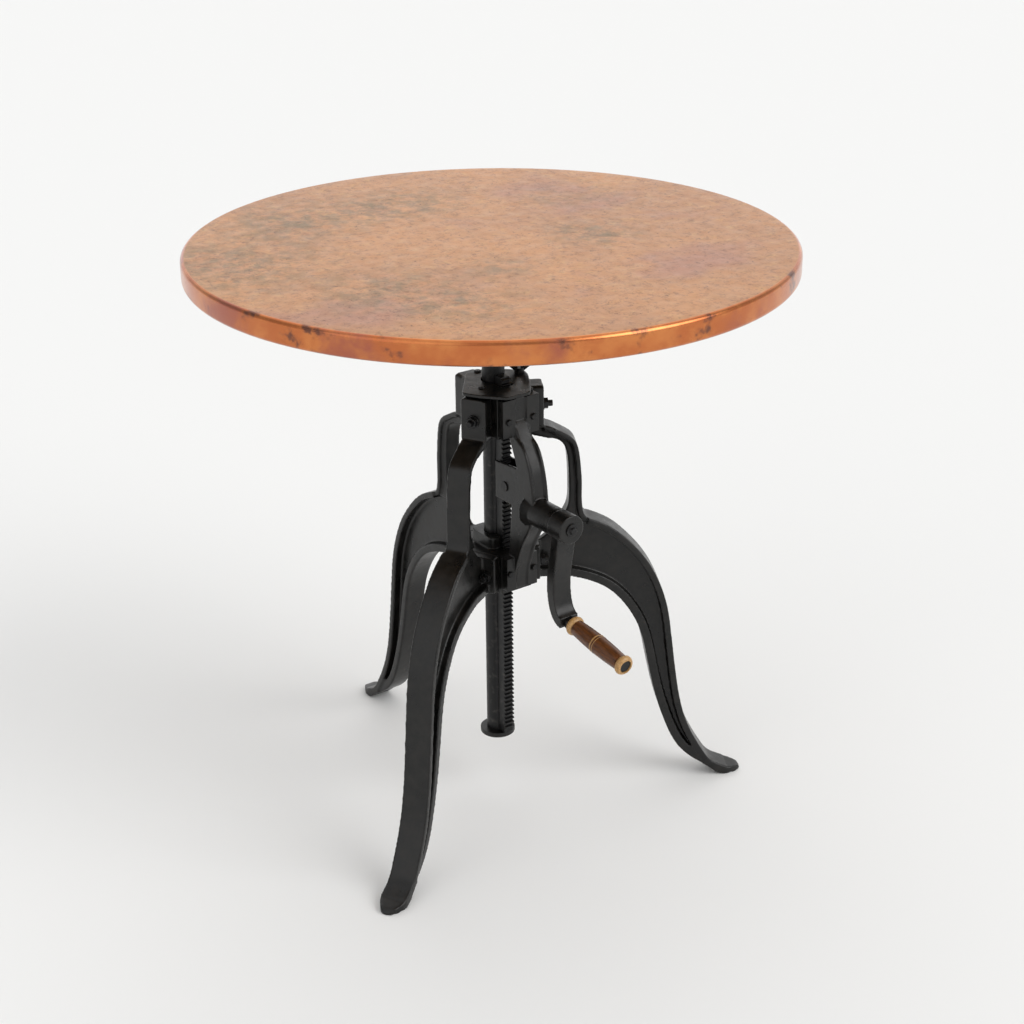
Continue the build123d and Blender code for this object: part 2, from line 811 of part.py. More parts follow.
# ================= pinion =================
def involute(angle):
    return tan(angle) - angle


def tooth_half_angle(radius):
    """Half the angle that a pinion tooth spans at this radius."""
    lean = involute(acos(min(base_radius / radius, 1.0)))
    return pi / (2 * pinion_teeth) + involute(pressure_angle) - lean


flank_radii = [pinion_radius - dedendum, base_radius + 0.01]
flank_radii += [base_radius + (pinion_radius + addendum - base_radius) * step / 4 for step in (1, 2, 3, 4)]
right_flank = []
for radius in flank_radii:
    turn = tooth_half_angle(radius)
    right_flank.append((radius * cos(turn), radius * sin(turn)))
tooth_points = right_flank + [(x, -y) for x, y in reversed(right_flank)]
pinion_centre = (-pinion_width / 2, -pinion_reach, pinion_height)
pinion_plane = Plane(origin=pinion_centre, x_dir=(0, 1, 0), z_dir=(1, 0, 0))

with BuildPart() as pinion:
    with BuildSketch(pinion_plane):
        Circle(pinion_radius - dedendum + 0.05)
        with PolarLocations(0, pinion_teeth, start_angle=180 / pinion_teeth):
            Polygon(*tooth_points, align=None)
        Circle(pin_radius + running_clearance, mode=Mode.SUBTRACT)
    extrude(amount=pinion_width)
pinion.part.label = "pinion"
export_step(pinion.part, "parts/pinion.step")

# ================= crank =================
worm_start = pinion_reach - pitch
worm_half = pitch / 4 - worm_flank_gap
with BuildPart() as worm_thread:
    with BuildLine() as worm_path:
        Helix(pitch, pitch * worm_turns, worm_pitch_radius, lefthand=True)
    with BuildSketch(Plane.XZ):
        with BuildLine():
            Polyline(
                (worm_root - 0.3, worm_half + (dedendum + 0.3) * tan(pressure_angle)),
                (worm_tip, worm_half - addendum * tan(pressure_angle)),
                (worm_tip, -worm_half + addendum * tan(pressure_angle)),
                (worm_root - 0.3, -worm_half - (dedendum + 0.3) * tan(pressure_angle)),
                close=True,
            )
        make_face()
    sweep(path=worm_path.wires()[0], is_frenet=True)
# The worm is cut on the shaft, with a crest straight under the pinion.
worm_place = Plane(origin=(0, -worm_start, crank_height), x_dir=(0, 0, 1), z_dir=(0, -1, 0))
placed_thread = worm_place.location * worm_thread.part

with BuildPart() as crank_shaft:
    with BuildSketch(radial_plane(-90, shaft_inner_end, crank_height)):
        Circle(shaft_radius)
    extrude(amount=crank_hub_end - shaft_inner_end)
    with BuildSketch(radial_plane(-90, crank_hub_end, crank_height)):
        Circle(crank_bolt_radius)
    extrude(amount=-crank_bolt_depth, mode=Mode.SUBTRACT)
    add(placed_thread)
crank_shaft.part.label = "crank_shaft"
export_step(crank_shaft.part, "parts/crank_shaft.step")

with BuildPart() as shaft_collar:
    with BuildSketch(radial_plane(-90, boss_inner_end - collar_gap, crank_height)):
        Circle(shaft_collar_radius)
        Circle(shaft_radius, mode=Mode.SUBTRACT)
    extrude(amount=-shaft_collar_length)
shaft_collar.part.label = "shaft_collar"
export_step(shaft_collar.part, "parts/shaft_collar.step")

# The arm hangs from the hub and curls out to face along the grip.
grip_start = (grip_start_reach, grip_start_height)
grip_way = (cos(radians(grip_droop)), -sin(radians(grip_droop)))
arm_end = (grip_start_reach - 8 * grip_way[0], grip_start_height - 8 * grip_way[1])
arm_reach = crank_hub_start + arm_bar_thickness / 2 + 2
grip_plane = Plane(origin=(0, -grip_start_reach, grip_start_height), z_dir=(0, -grip_way[0], grip_way[1]))


def grip_disc(distance):
    """A plane across the grip's axis, this far along it."""
    return grip_plane.offset(distance)


with BuildSketch(reach_plane) as arm_side:
    with BuildLine() as arm_line:
        Spline(
            (arm_reach, crank_height),
            (arm_reach - 2, crank_height - 30),
            (arm_reach - 8.5, crank_height - 68),
            (arm_reach - 8, crank_height - 100),
            (arm_reach - 1, crank_height - 120),
            arm_end,
            tangents=[(0, -1), grip_way],
        )
    trace(line_width=arm_bar_thickness)

with BuildPart() as crank_arm:
    extrude(arm_side.sketch, amount=arm_bar_width / 2, both=True)
    with BuildSketch(radial_plane(-90, crank_hub_start, crank_height)):
        Circle(crank_hub_radius)
    extrude(amount=crank_hub_length)
    with BuildSketch(radial_plane(-90, crank_hub_start, crank_height)):
        Circle(shaft_radius)
    extrude(amount=crank_hub_length, mode=Mode.SUBTRACT)
    with BuildSketch(grip_disc(-9)):
        Circle(spindle_radius)
    extrude(amount=12, mode=Mode.SUBTRACT)
crank_arm.part.label = "crank_arm"
export_step(crank_arm.part, "parts/crank_arm.step")

with BuildPart() as crank_bolt:
    with BuildSketch(radial_plane(-90, crank_hub_end, crank_height)):
        Circle(crank_bolt_radius)
    extrude(amount=-crank_bolt_depth)
    with BuildSketch(radial_plane(-90, crank_hub_end, crank_height)):
        Circle(crank_washer_radius)
    extrude(amount=washer_thickness)
    with BuildSketch(radial_plane(-90, crank_hub_end + washer_thickness, crank_height)):
        Circle(crank_bolt_head)
    extrude(amount=3, taper=20)
crank_bolt.part.label = "crank_bolt"
export_step(crank_bolt.part, "parts/crank_bolt.step")

# One bolt is the grip's axle, and its head sits in the grip's outer end.
axle_length = grip_length - plug_depth + end_play
with BuildPart() as grip_axle:
    with BuildSketch(grip_disc(-9)):
        Circle(spindle_radius)
    extrude(amount=9 + axle_length)
    with BuildSketch(grip_disc(axle_length)):
        Circle(axle_head_radius)
    extrude(amount=axle_head_height, taper=10)
grip_axle.part.label = "grip_axle"
export_step(grip_axle.part, "parts/grip_axle.step")

with BuildPart() as axle_nut:
    with BuildSketch(grip_disc(-end_play - axle_nut_height)):
        RegularPolygon(axle_nut_flats / 2, 6, major_radius=False)
        Circle(spindle_radius, mode=Mode.SUBTRACT)
    extrude(amount=axle_nut_height)
axle_nut.part.label = "axle_nut"
export_step(axle_nut.part, "parts/axle_nut.step")

# ================= grip =================
# The grip is turned about Z, then laid on its axle.
with BuildPart() as grip_turning:
    with BuildSketch(Plane.XZ):
        with BuildLine():
            Polyline((spindle_radius + running_clearance, 0), (grip_bead_radius - 3, 0))
            ThreePointArc((grip_bead_radius - 3, 0), (grip_bead_radius, 4.5), (grip_neck_radius, 9.5))
            Spline(
                (grip_neck_radius, 9.5),
                (grip_belly_radius, grip_length * 0.45),
                (grip_neck_radius - 0.5, grip_length - 9.5),
                tangents=[(0.1, 1), (-0.1, 1)],
            )
            ThreePointArc(
                (grip_neck_radius - 0.5, grip_length - 9.5),
                (grip_bead_radius, grip_length - 4.5),
                (grip_bead_radius - 3, grip_length),
            )
            Polyline(
                (grip_bead_radius - 3, grip_length),
                (axle_head_radius + end_play, grip_length),
                (axle_head_radius + end_play, grip_length - plug_depth),
                (spindle_radius + running_clearance, grip_length - plug_depth),
                (spindle_radius + running_clearance, 0),
            )
        make_face()
    revolve(axis=Axis.Z)
grip = grip_plane.location * grip_turning.part
grip.label = "grip"
export_step(grip, "parts/grip.step")

# ================= wing screw =================
wing_base = cap_top + wing_lift
with BuildPart() as wing_screw:
    with BuildSketch(Plane.XY.offset(wing_base)):
        with Locations((wing_x, wing_y)):
            Circle(wing_shank_radius)
    extrude(amount=-wing_shank_length + 2)
    with BuildSketch(Plane.XY.offset(wing_base)):
        with Locations((wing_x, wing_y)):
            Circle(wing_hub_radius)
    extrude(amount=wing_hub_height)
    wing_way = leg_direction(wing_turn)
    wing_plane = Plane(origin=(wing_x, wing_y, wing_base), x_dir=wing_way, z_dir=leg_direction(wing_turn - 90))
    for side in (-1, 1):
        with BuildSketch(wing_plane):
            with Locations((side * (wing_span / 2 - wing_tip_radius), wing_hub_height + wing_tip_radius)):
                Circle(wing_tip_radius)
            with Locations((side * wing_hub_radius / 2, wing_hub_height / 2)):
                Rectangle(wing_hub_radius / 2, wing_hub_height - 1)
            make_hull()
        extrude(amount=wing_thickness / 2, both=True)
wing_screw.part.label = "wing_screw"
export_step(wing_screw.part, "parts/wing_screw.step")
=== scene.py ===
import json
import math
import bmesh
import bpy
from mathutils import Matrix, Vector, noise


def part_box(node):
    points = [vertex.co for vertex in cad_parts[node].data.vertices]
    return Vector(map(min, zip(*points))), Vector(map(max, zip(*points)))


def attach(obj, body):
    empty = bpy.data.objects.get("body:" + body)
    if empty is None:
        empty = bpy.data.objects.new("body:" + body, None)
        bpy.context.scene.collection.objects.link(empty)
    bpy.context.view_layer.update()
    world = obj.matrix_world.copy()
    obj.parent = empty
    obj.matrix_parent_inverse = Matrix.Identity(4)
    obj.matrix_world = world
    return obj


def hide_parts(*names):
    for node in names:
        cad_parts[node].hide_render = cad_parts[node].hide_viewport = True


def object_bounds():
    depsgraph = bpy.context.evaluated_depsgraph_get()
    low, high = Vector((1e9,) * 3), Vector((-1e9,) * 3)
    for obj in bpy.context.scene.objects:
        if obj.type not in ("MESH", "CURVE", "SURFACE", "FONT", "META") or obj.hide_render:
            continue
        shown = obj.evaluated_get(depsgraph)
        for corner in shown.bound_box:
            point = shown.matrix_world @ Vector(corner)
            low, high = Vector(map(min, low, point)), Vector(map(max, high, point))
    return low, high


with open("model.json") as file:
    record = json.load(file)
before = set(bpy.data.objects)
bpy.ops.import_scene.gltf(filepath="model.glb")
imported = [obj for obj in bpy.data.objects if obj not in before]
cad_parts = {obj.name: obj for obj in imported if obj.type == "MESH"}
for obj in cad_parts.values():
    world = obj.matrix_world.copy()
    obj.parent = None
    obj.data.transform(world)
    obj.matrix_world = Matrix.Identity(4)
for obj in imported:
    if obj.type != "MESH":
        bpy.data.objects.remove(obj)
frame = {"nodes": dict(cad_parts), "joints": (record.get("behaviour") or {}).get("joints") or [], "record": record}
cadLow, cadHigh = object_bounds()
print("stage: frame loaded,", len(frame["nodes"]), "nodes")

# camera and studio

camera = {
    "place": (-1.3220, -1.8759, 1.4308),
    "heading": 54.27, "down": 23.933, "roll": -0.519,
    "lens": 67.245, "sensor": 36.0,
}


def makeCamera():
    data = bpy.data.cameras.new("camera")
    data.sensor_width = camera["sensor"]
    data.lens = camera["lens"]
    shooter = bpy.data.objects.new("camera", data)
    bpy.context.scene.collection.objects.link(shooter)
    turn = Matrix.Rotation(math.radians(camera["heading"] - 90), 4, "Z")
    tip = Matrix.Rotation(math.radians(90 - camera["down"]), 4, "X")
    roll = Matrix.Rotation(math.radians(camera["roll"]), 4, "Z")
    shooter.matrix_world = Matrix.Translation(camera["place"]) @ turn @ tip @ roll
    bpy.context.scene.camera = shooter


makeCamera()


def linearColour(code):
    channels = [int(code[i:i + 2], 16) / 255 for i in (1, 3, 5)]
    linear = [c / 12.92 if c <= 0.04045 else ((c + 0.055) / 1.055) ** 2.4 for c in channels]
    return (*linear, 1.0)


def perMm(size):
    # A texture scale that repeats about once in this many millimetres.
    return 1000.0 / size


def addNode(tree, kind, inputs=None, **settings):
    node = tree.nodes.new(kind)
    for name, value in settings.items():
        setattr(node, name, value)
    for name, value in (inputs or {}).items():
        if isinstance(value, bpy.types.NodeSocket):
            tree.links.new(value, node.inputs[name])
        else:
            node.inputs[name].default_value = value
    return node


def newMaterial(name, inputs):
    material = bpy.data.materials.new(name)
    material.use_nodes = True
    tree = material.node_tree
    tree.nodes.clear()
    shader = addNode(tree, "ShaderNodeBsdfPrincipled", inputs)
    addNode(tree, "ShaderNodeOutputMaterial", {"Surface": shader.outputs["BSDF"]})
    place = addNode(tree, "ShaderNodeTexCoord").outputs["Object"]
    return material, tree, shader, place


studio = {
    "floorColour": "#ebebea",
    "floorRadius": 30.0,
    "ambient": 0.42,
    "horizon": 0.42,
    "glows": {
        "overhead": {"azimuth": 60.0, "height": 78.0, "inner": 22.0, "outer": 52.0, "strength": 0.55},
        "key": {"azimuth": -62.0, "height": 34.0, "inner": 10.0, "outer": 30.0, "strength": 3.6},
        "fill": {"azimuth": -165.0, "height": 30.0, "inner": 12.0, "outer": 36.0, "strength": 0.8},
        "back": {"azimuth": 54.0, "height": 30.0, "inner": 24.0, "outer": 50.0, "strength": 0.55},
    },
}


def makeStudio():
    bm = bmesh.new()
    bmesh.ops.create_circle(bm, cap_ends=True, segments=64, radius=studio["floorRadius"])
    mesh = bpy.data.meshes.new("floor")
    bm.to_mesh(mesh)
    floor = bpy.data.objects.new("floor", mesh)
    bpy.context.scene.collection.objects.link(floor)
    paper, tree, shader, place = newMaterial("matt white paper", {
        "Roughness": 0.85, "Specular IOR Level": 0.2,
    })
    shader.inputs["Base Color"].default_value = linearColour(studio["floorColour"])
    # From underneath the paper is clear, so that the underside can be seen.
    clear = addNode(tree, "ShaderNodeBsdfTransparent")
    behind = addNode(tree, "ShaderNodeNewGeometry").outputs["Backfacing"]
    sides = addNode(tree, "ShaderNodeMixShader", {
        0: behind, 1: shader.outputs["BSDF"], 2: clear.outputs["BSDF"],
    })
    output = next(node for node in tree.nodes if node.type == "OUTPUT_MATERIAL")
    tree.links.new(sides.outputs["Shader"], output.inputs["Surface"])
    mesh.materials.append(paper)
    world = bpy.data.worlds.new("studio")
    world.use_nodes = True
    tree = world.node_tree
    background = tree.nodes["Background"]
    background.inputs["Color"].default_value = (1.0, 1.0, 1.0, 1.0)
    toward = addNode(tree, "ShaderNodeTexCoord").outputs["Generated"]
    upward = addNode(tree, "ShaderNodeSeparateXYZ", {"Vector": toward}).outputs["Z"]
    low = addNode(tree, "ShaderNodeMapRange", {
        "Value": upward, "From Min": 0.02, "From Max": 0.24,
        "To Min": studio["ambient"] + studio["horizon"], "To Max": studio["ambient"],
    })
    total = low.outputs["Result"]
    for glow in studio["glows"].values():
        azimuth, height = math.radians(glow["azimuth"]), math.radians(glow["height"])
        level = math.cos(height)
        centre = (math.cos(azimuth) * level, math.sin(azimuth) * level, math.sin(height))
        near = addNode(tree, "ShaderNodeVectorMath", {0: toward, 1: centre}, operation="DOT_PRODUCT")
        patch = addNode(tree, "ShaderNodeMapRange", {
            "Value": near.outputs["Value"],
            "From Min": math.cos(math.radians(glow["outer"])),
            "From Max": math.cos(math.radians(glow["inner"])),
            "To Max": glow["strength"],
        }, interpolation_type="SMOOTHSTEP")
        total = addNode(tree, "ShaderNodeMath", {0: patch.outputs["Result"], 1: total}).outputs["Value"]
    tree.links.new(total, background.inputs["Strength"])
    bpy.context.scene.world = world
    bpy.context.scene.view_settings.view_transform = "Standard"


makeStudio()
print("stage: camera and studio")

# materials

blackIron = {
    "colour": "#0d0d0c",
    "dustColour": "#1d1b19",
    "roughness": (0.26, 0.40),
    "grainMm": 1.1,
    "wavesMm": 14.0,
}


def makeBlackIron():
    # Sand-cast iron under satin black enamel: the sand's pebbling shows through the paint.
    material, tree, shader, place = newMaterial("satin black enamel on sand-cast iron", {
        "Specular IOR Level": 0.38,
    })
    grain = addNode(tree, "ShaderNodeTexNoise", {
        "Vector": place, "Scale": perMm(blackIron["grainMm"]), "Detail": 3.0,
    })
    waves = addNode(tree, "ShaderNodeTexNoise", {
        "Vector": place, "Scale": perMm(blackIron["wavesMm"]), "Detail": 4.0,
    })
    dusty = addNode(tree, "ShaderNodeMapRange", {
        "Value": waves.outputs["Fac"], "From Min": 0.4, "From Max": 0.75,
    })
    colour = addNode(tree, "ShaderNodeMix", {
        0: dusty.outputs["Result"],
        6: linearColour(blackIron["colour"]),
        7: linearColour(blackIron["dustColour"]),
    }, data_type="RGBA")
    tree.links.new(colour.outputs[2], shader.inputs["Base Color"])
    low, high = blackIron["roughness"]
    gloss = addNode(tree, "ShaderNodeMapRange", {
        "Value": waves.outputs["Fac"], "From Min": 0.3, "From Max": 0.7, "To Min": low, "To Max": high,
    })
    tree.links.new(gloss.outputs["Result"], shader.inputs["Roughness"])
    deep = addNode(tree, "ShaderNodeBump", {
        "Height": waves.outputs["Fac"], "Strength": 0.25, "Distance": 0.0006,
    })
    fine = addNode(tree, "ShaderNodeBump", {
        "Height": grain.outputs["Fac"], "Strength": 0.30, "Distance": 0.00012,
        "Normal": deep.outputs["Normal"],
    })
    tree.links.new(fine.outputs["Normal"], shader.inputs["Normal"])
    return material


blackSteel = {
    "colour": "#101011",
    "wornColour": "#3a3835",
    "roughness": (0.30, 0.46),
    "drawMm": 0.7,
    "blotMm": 9.0,
}


def makeBlackSteel():
    # Drawn steel bar, blacked and oiled: long faint draw lines run up the bar.
    material, tree, shader, place = newMaterial("oiled black steel bar", {"Metallic": 0.35})
    stretch = addNode(tree, "ShaderNodeMapping", {"Vector": place, "Scale": (1.0, 1.0, 0.04)})
    lines = addNode(tree, "ShaderNodeTexNoise", {
        "Vector": stretch.outputs["Vector"], "Scale": perMm(blackSteel["drawMm"]), "Detail": 3.0,
    })
    blots = addNode(tree, "ShaderNodeTexNoise", {
        "Vector": place, "Scale": perMm(blackSteel["blotMm"]), "Detail": 5.0,
    })
    worn = addNode(tree, "ShaderNodeMapRange", {
        "Value": blots.outputs["Fac"], "From Min": 0.55, "From Max": 0.8,
    })
    colour = addNode(tree, "ShaderNodeMix", {
        0: worn.outputs["Result"],
        6: linearColour(blackSteel["colour"]),
        7: linearColour(blackSteel["wornColour"]),
    }, data_type="RGBA")
    tree.links.new(colour.outputs[2], shader.inputs["Base Color"])
    low, high = blackSteel["roughness"]
    gloss = addNode(tree, "ShaderNodeMapRange", {
        "Value": lines.outputs["Fac"], "From Min": 0.3, "From Max": 0.7, "To Min": low, "To Max": high,
    })
    tree.links.new(gloss.outputs["Result"], shader.inputs["Roughness"])
    bump = addNode(tree, "ShaderNodeBump", {
        "Height": lines.outputs["Fac"], "Strength": 0.2, "Distance": 0.00005,
    })
    tree.links.new(bump.outputs["Normal"], shader.inputs["Normal"])
    return material


def makeCutSteel():
    # Cut gear steel in grease: bright, with fine tool marks.
    material, tree, shader, place = newMaterial("greased cut steel", {"Metallic": 1.0, "Roughness": 0.34})
    marks = addNode(tree, "ShaderNodeTexNoise", {"Vector": place, "Scale": perMm(0.8), "Detail": 4.0})
    colour = addNode(tree, "ShaderNodeMix", {
        0: marks.outputs["Fac"], 6: linearColour("#8d8a84"), 7: linearColour("#5c574e"),
    }, data_type="RGBA")
    tree.links.new(colour.outputs[2], shader.inputs["Base Color"])
    bump = addNode(tree, "ShaderNodeBump", {
        "Height": marks.outputs["Fac"], "Strength": 0.2, "Distance": 0.00004,
    })
    tree.links.new(bump.outputs["Normal"], shader.inputs["Normal"])
    return material


def makeBronze():
    # Turned bearing bronze: yellow-brown, with fine tool marks.
    material, tree, shader, place = newMaterial("turned bearing bronze", {"Metallic": 1.0, "Roughness": 0.38})
    marks = addNode(tree, "ShaderNodeTexNoise", {"Vector": place, "Scale": perMm(0.9), "Detail": 2.0})
    colour = addNode(tree, "ShaderNodeMix", {
        0: marks.outputs["Fac"], 6: linearColour("#a97d46"), 7: linearColour("#7c5830"),
    }, data_type="RGBA")
    tree.links.new(colour.outputs[2], shader.inputs["Base Color"])
    bump = addNode(tree, "ShaderNodeBump", {
        "Height": marks.outputs["Fac"], "Strength": 0.2, "Distance": 0.00004,
    })
    tree.links.new(bump.outputs["Normal"], shader.inputs["Normal"])
    return material


def makeBoard():
    # Sealed chipboard under the copper: pressed flakes in brown, matt.
    material, tree, shader, place = newMaterial("sealed chipboard", {"Roughness": 0.62})
    flakes = addNode(tree, "ShaderNodeTexVoronoi", {"Vector": place, "Scale": perMm(5.0)})
    specks = addNode(tree, "ShaderNodeTexNoise", {"Vector": place, "Scale": perMm(1.5), "Detail": 4.0})
    blend = addNode(tree, "ShaderNodeMix", {
        0: 0.5, 6: flakes.outputs["Color"], 7: specks.outputs["Color"],
    }, data_type="RGBA")
    tone = addNode(tree, "ShaderNodeRGBToBW", {"Color": blend.outputs[2]})
    colour = addNode(tree, "ShaderNodeMix", {
        0: tone.outputs["Val"], 6: linearColour("#4a3524"), 7: linearColour("#a3845f"),
    }, data_type="RGBA")
    tree.links.new(colour.outputs[2], shader.inputs["Base Color"])
    bump = addNode(tree, "ShaderNodeBump", {
        "Height": tone.outputs["Val"], "Strength": 0.3, "Distance": 0.00015,
    })
    tree.links.new(bump.outputs["Normal"], shader.inputs["Normal"])
    return material


agedCopper = {
    "salmon": "#cb9363",
    "pink": "#bf8a60",
    "golden": "#d0a06b",
    "olive": "#7d6a4b",
    "brown": "#7a4e34",
    "rose": "#b8846a",
    "speck": "#644330",
    "edgeOrange": "#bf6c3c",
    "edgeGold": "#cf8048",
    "edgeDark": "#74493a",
    "edgeRose": "#a9604a",
    "roughness": (0.38, 0.54),
    "edgeRoughness": 0.22,
    "edgeStart": 0.0060,
    "edgeFull": 0.0035,
    "warpMm": 35.0,
    "warpReach": 0.03,
    "thinOxide": 0.10,
    "mottleShare": 0.75,
    # Where the oxide gathers: a place on the top, how far it spreads in millimetres, how strong.
    "oxide": (
        ((0.140, -0.030, 0.778), 90.0, 0.9),
        ((0.020, 0.230, 0.778), 130.0, 0.8),
        ((-0.130, 0.250, 0.778), 150.0, 0.8),
        ((-0.300, 0.120, 0.778), 190.0, 0.8),
        ((-0.196, -0.087, 0.778), 130.0, 0.8),
        ((-0.042, -0.079, 0.778), 70.0, 0.6),
        ((-0.151, -0.183, 0.778), 110.0, 0.6),
        ((0.230, 0.120, 0.778), 120.0, 0.4),
    ),
}


def blendColours(tree, share, first, second):
    mixed = addNode(tree, "ShaderNodeMix", {0: share, 6: first, 7: second}, data_type="RGBA")
    return mixed.outputs[2]


def patches(tree, place, sizeMm, low, high, detail=5.0, stretch=0.6, seed=0.0):
    field = addNode(tree, "ShaderNodeTexNoise", {
        "Vector": place, "W": seed, "Scale": perMm(sizeMm), "Detail": detail, "Roughness": stretch,
    }, noise_dimensions="4D")
    edge = addNode(tree, "ShaderNodeMapRange", {
        "Value": field.outputs["Fac"], "From Min": low, "From Max": high,
    }, interpolation_type="SMOOTHSTEP")
    return edge.outputs["Result"]


def makeAgedCopper():
    # Flame-coloured copper sheet under lacquer: salmon and gold clouds, olive oxide, dark flecks
    # and a glossier orange edge.
    material, tree, shader, place = newMaterial("flame-aged copper sheet, lacquered", {
        "Metallic": 0.9, "Coat Weight": 0.25, "Coat Roughness": 0.15,
    })
    values = agedCopper
    warp = addNode(tree, "ShaderNodeTexNoise", {
        "Vector": place, "Scale": perMm(values["warpMm"]), "Detail": 4.0,
    })
    shift = addNode(tree, "ShaderNodeVectorMath", {
        0: warp.outputs["Color"], 1: (values["warpReach"], values["warpReach"], 0.0),
    }, operation="MULTIPLY")
    drift = addNode(tree, "ShaderNodeVectorMath", {0: place, 1: shift.outputs["Vector"]}, operation="ADD")
    gathered = values["thinOxide"]
    for spot, spreadMm, strength in values["oxide"]:
        gap = addNode(tree, "ShaderNodeVectorMath", {
            0: drift.outputs["Vector"], 1: spot,
        }, operation="DISTANCE")
        near = addNode(tree, "ShaderNodeMapRange", {
            "Value": gap.outputs["Value"], "From Min": spreadMm / 1000, "From Max": 0.0, "To Max": strength,
        }, interpolation_type="SMOOTHSTEP")
        added = addNode(tree, "ShaderNodeMath", {0: near.outputs["Result"], 1: gathered})
        gathered = added.outputs["Value"]
    tone = blendColours(tree, patches(tree, place, 150.0, 0.40, 0.62, seed=1.0),
                        linearColour(values["pink"]), linearColour(values["salmon"]))
    tone = blendColours(tree, patches(tree, place, 14.0, 0.50, 0.74, detail=6.0, stretch=0.7, seed=2.0),
                        tone, linearColour(values["golden"]))
    tone = blendColours(tree, patches(tree, place, 170.0, 0.52, 0.70, detail=3.0, seed=8.0),
                        tone, linearColour(values["rose"]))
    streaks = patches(tree, place, 22.0, 0.40, 0.62, detail=9.0, stretch=0.78, seed=3.0)
    oxide = addNode(tree, "ShaderNodeMath", {0: streaks, 1: gathered}, operation="MULTIPLY", use_clamp=True)
    tone = blendColours(tree, oxide.outputs["Value"], tone, linearColour(values["olive"]))
    mottle = patches(tree, place, 9.0, 0.48, 0.68, detail=7.0, stretch=0.82, seed=9.0)
    worn = addNode(tree, "ShaderNodeMath", {0: mottle, 1: values["mottleShare"]}, operation="MULTIPLY")
    tone = blendColours(tree, worn.outputs["Value"], tone, linearColour(values["brown"]))
    specks = patches(tree, place, 5.0, 0.58, 0.70, detail=4.0, stretch=0.75, seed=4.0)
    tone = blendColours(tree, specks, tone, linearColour(values["speck"]))
    band = blendColours(tree, patches(tree, place, 45.0, 0.42, 0.62, seed=5.0),
                        linearColour(values["edgeOrange"]), linearColour(values["edgeGold"]))
    band = blendColours(tree, patches(tree, place, 90.0, 0.50, 0.66, seed=6.0),
                        band, linearColour(values["edgeRose"]))
    stain = patches(tree, place, 30.0, 0.55, 0.66, detail=6.0, seed=7.0)
    band = blendColours(tree, stain, band, linearColour(values["edgeDark"]))
    axes = addNode(tree, "ShaderNodeSeparateXYZ", {"Vector": place})
    flat = addNode(tree, "ShaderNodeCombineXYZ", {
        "X": axes.outputs["X"], "Y": axes.outputs["Y"], "Z": 0.0,
    })
    reach = addNode(tree, "ShaderNodeVectorMath", {0: flat.outputs["Vector"]}, operation="LENGTH")
    radius = cadHigh.x
    rim = addNode(tree, "ShaderNodeMapRange", {
        "Value": reach.outputs["Value"],
        "From Min": radius - values["edgeStart"], "From Max": radius - values["edgeFull"],
    })
    colour = blendColours(tree, rim.outputs["Result"], tone, band)
    tree.links.new(colour, shader.inputs["Base Color"])
    cloud = addNode(tree, "ShaderNodeTexNoise", {"Vector": place, "Scale": perMm(20.0), "Detail": 6.0})
    low, high = values["roughness"]
    topGloss = addNode(tree, "ShaderNodeMapRange", {
        "Value": cloud.outputs["Fac"], "From Min": 0.3, "From Max": 0.7, "To Min": low, "To Max": high,
    })
    gloss = addNode(tree, "ShaderNodeMix", {
        0: rim.outputs["Result"], 2: topGloss.outputs["Result"], 3: values["edgeRoughness"],
    })
    tree.links.new(gloss.outputs[0], shader.inputs["Roughness"])
    wavy = addNode(tree, "ShaderNodeBump", {
        "Height": cloud.outputs["Fac"], "Strength": 0.25, "Distance": 0.0005,
    })
    pits = addNode(tree, "ShaderNodeBump", {
        "Height": specks, "Strength": 0.25, "Distance": 0.00008, "Normal": wavy.outputs["Normal"],
    }, invert=True)
    tree.links.new(pits.outputs["Normal"], shader.inputs["Normal"])
    tree.links.new(wavy.outputs["Normal"], shader.inputs["Coat Normal"])
    return material


wood = {
    "stain": "#704019",
    "stainDark": "#351c0b",
    "pale": "#c39a63",
    "paleDark": "#8d6636",
    "grainMm": 1.6,
}


def makeWood(name, light, dark, axis):
    # Turned beech under varnish: short flecks and fine pores run along the grip.
    material, tree, shader, place = newMaterial(name, {
        "Roughness": 0.36, "Coat Weight": 0.1, "Coat Roughness": 0.2,
    })
    turn = axis.rotation_difference(Vector((0, 0, 1))).to_euler()
    laid = addNode(tree, "ShaderNodeMapping", {"Vector": place, "Rotation": turn})
    stretch = addNode(tree, "ShaderNodeMapping", {
        "Vector": laid.outputs["Vector"], "Scale": (1.0, 1.0, 0.10),
    })
    grain = addNode(tree, "ShaderNodeTexNoise", {
        "Vector": stretch.outputs["Vector"], "Scale": perMm(wood["grainMm"]),
        "Detail": 5.0, "Roughness": 0.65,
    })
    streak = addNode(tree, "ShaderNodeMapRange", {
        "Value": grain.outputs["Fac"], "From Min": 0.35, "From Max": 0.68,
    })
    colour = blendColours(tree, streak.outputs["Result"], linearColour(light), linearColour(dark))
    tree.links.new(colour, shader.inputs["Base Color"])
    bump = addNode(tree, "ShaderNodeBump", {
        "Height": grain.outputs["Fac"], "Strength": 0.25, "Distance": 0.00008,
    })
    tree.links.new(bump.outputs["Normal"], shader.inputs["Normal"])
    return material


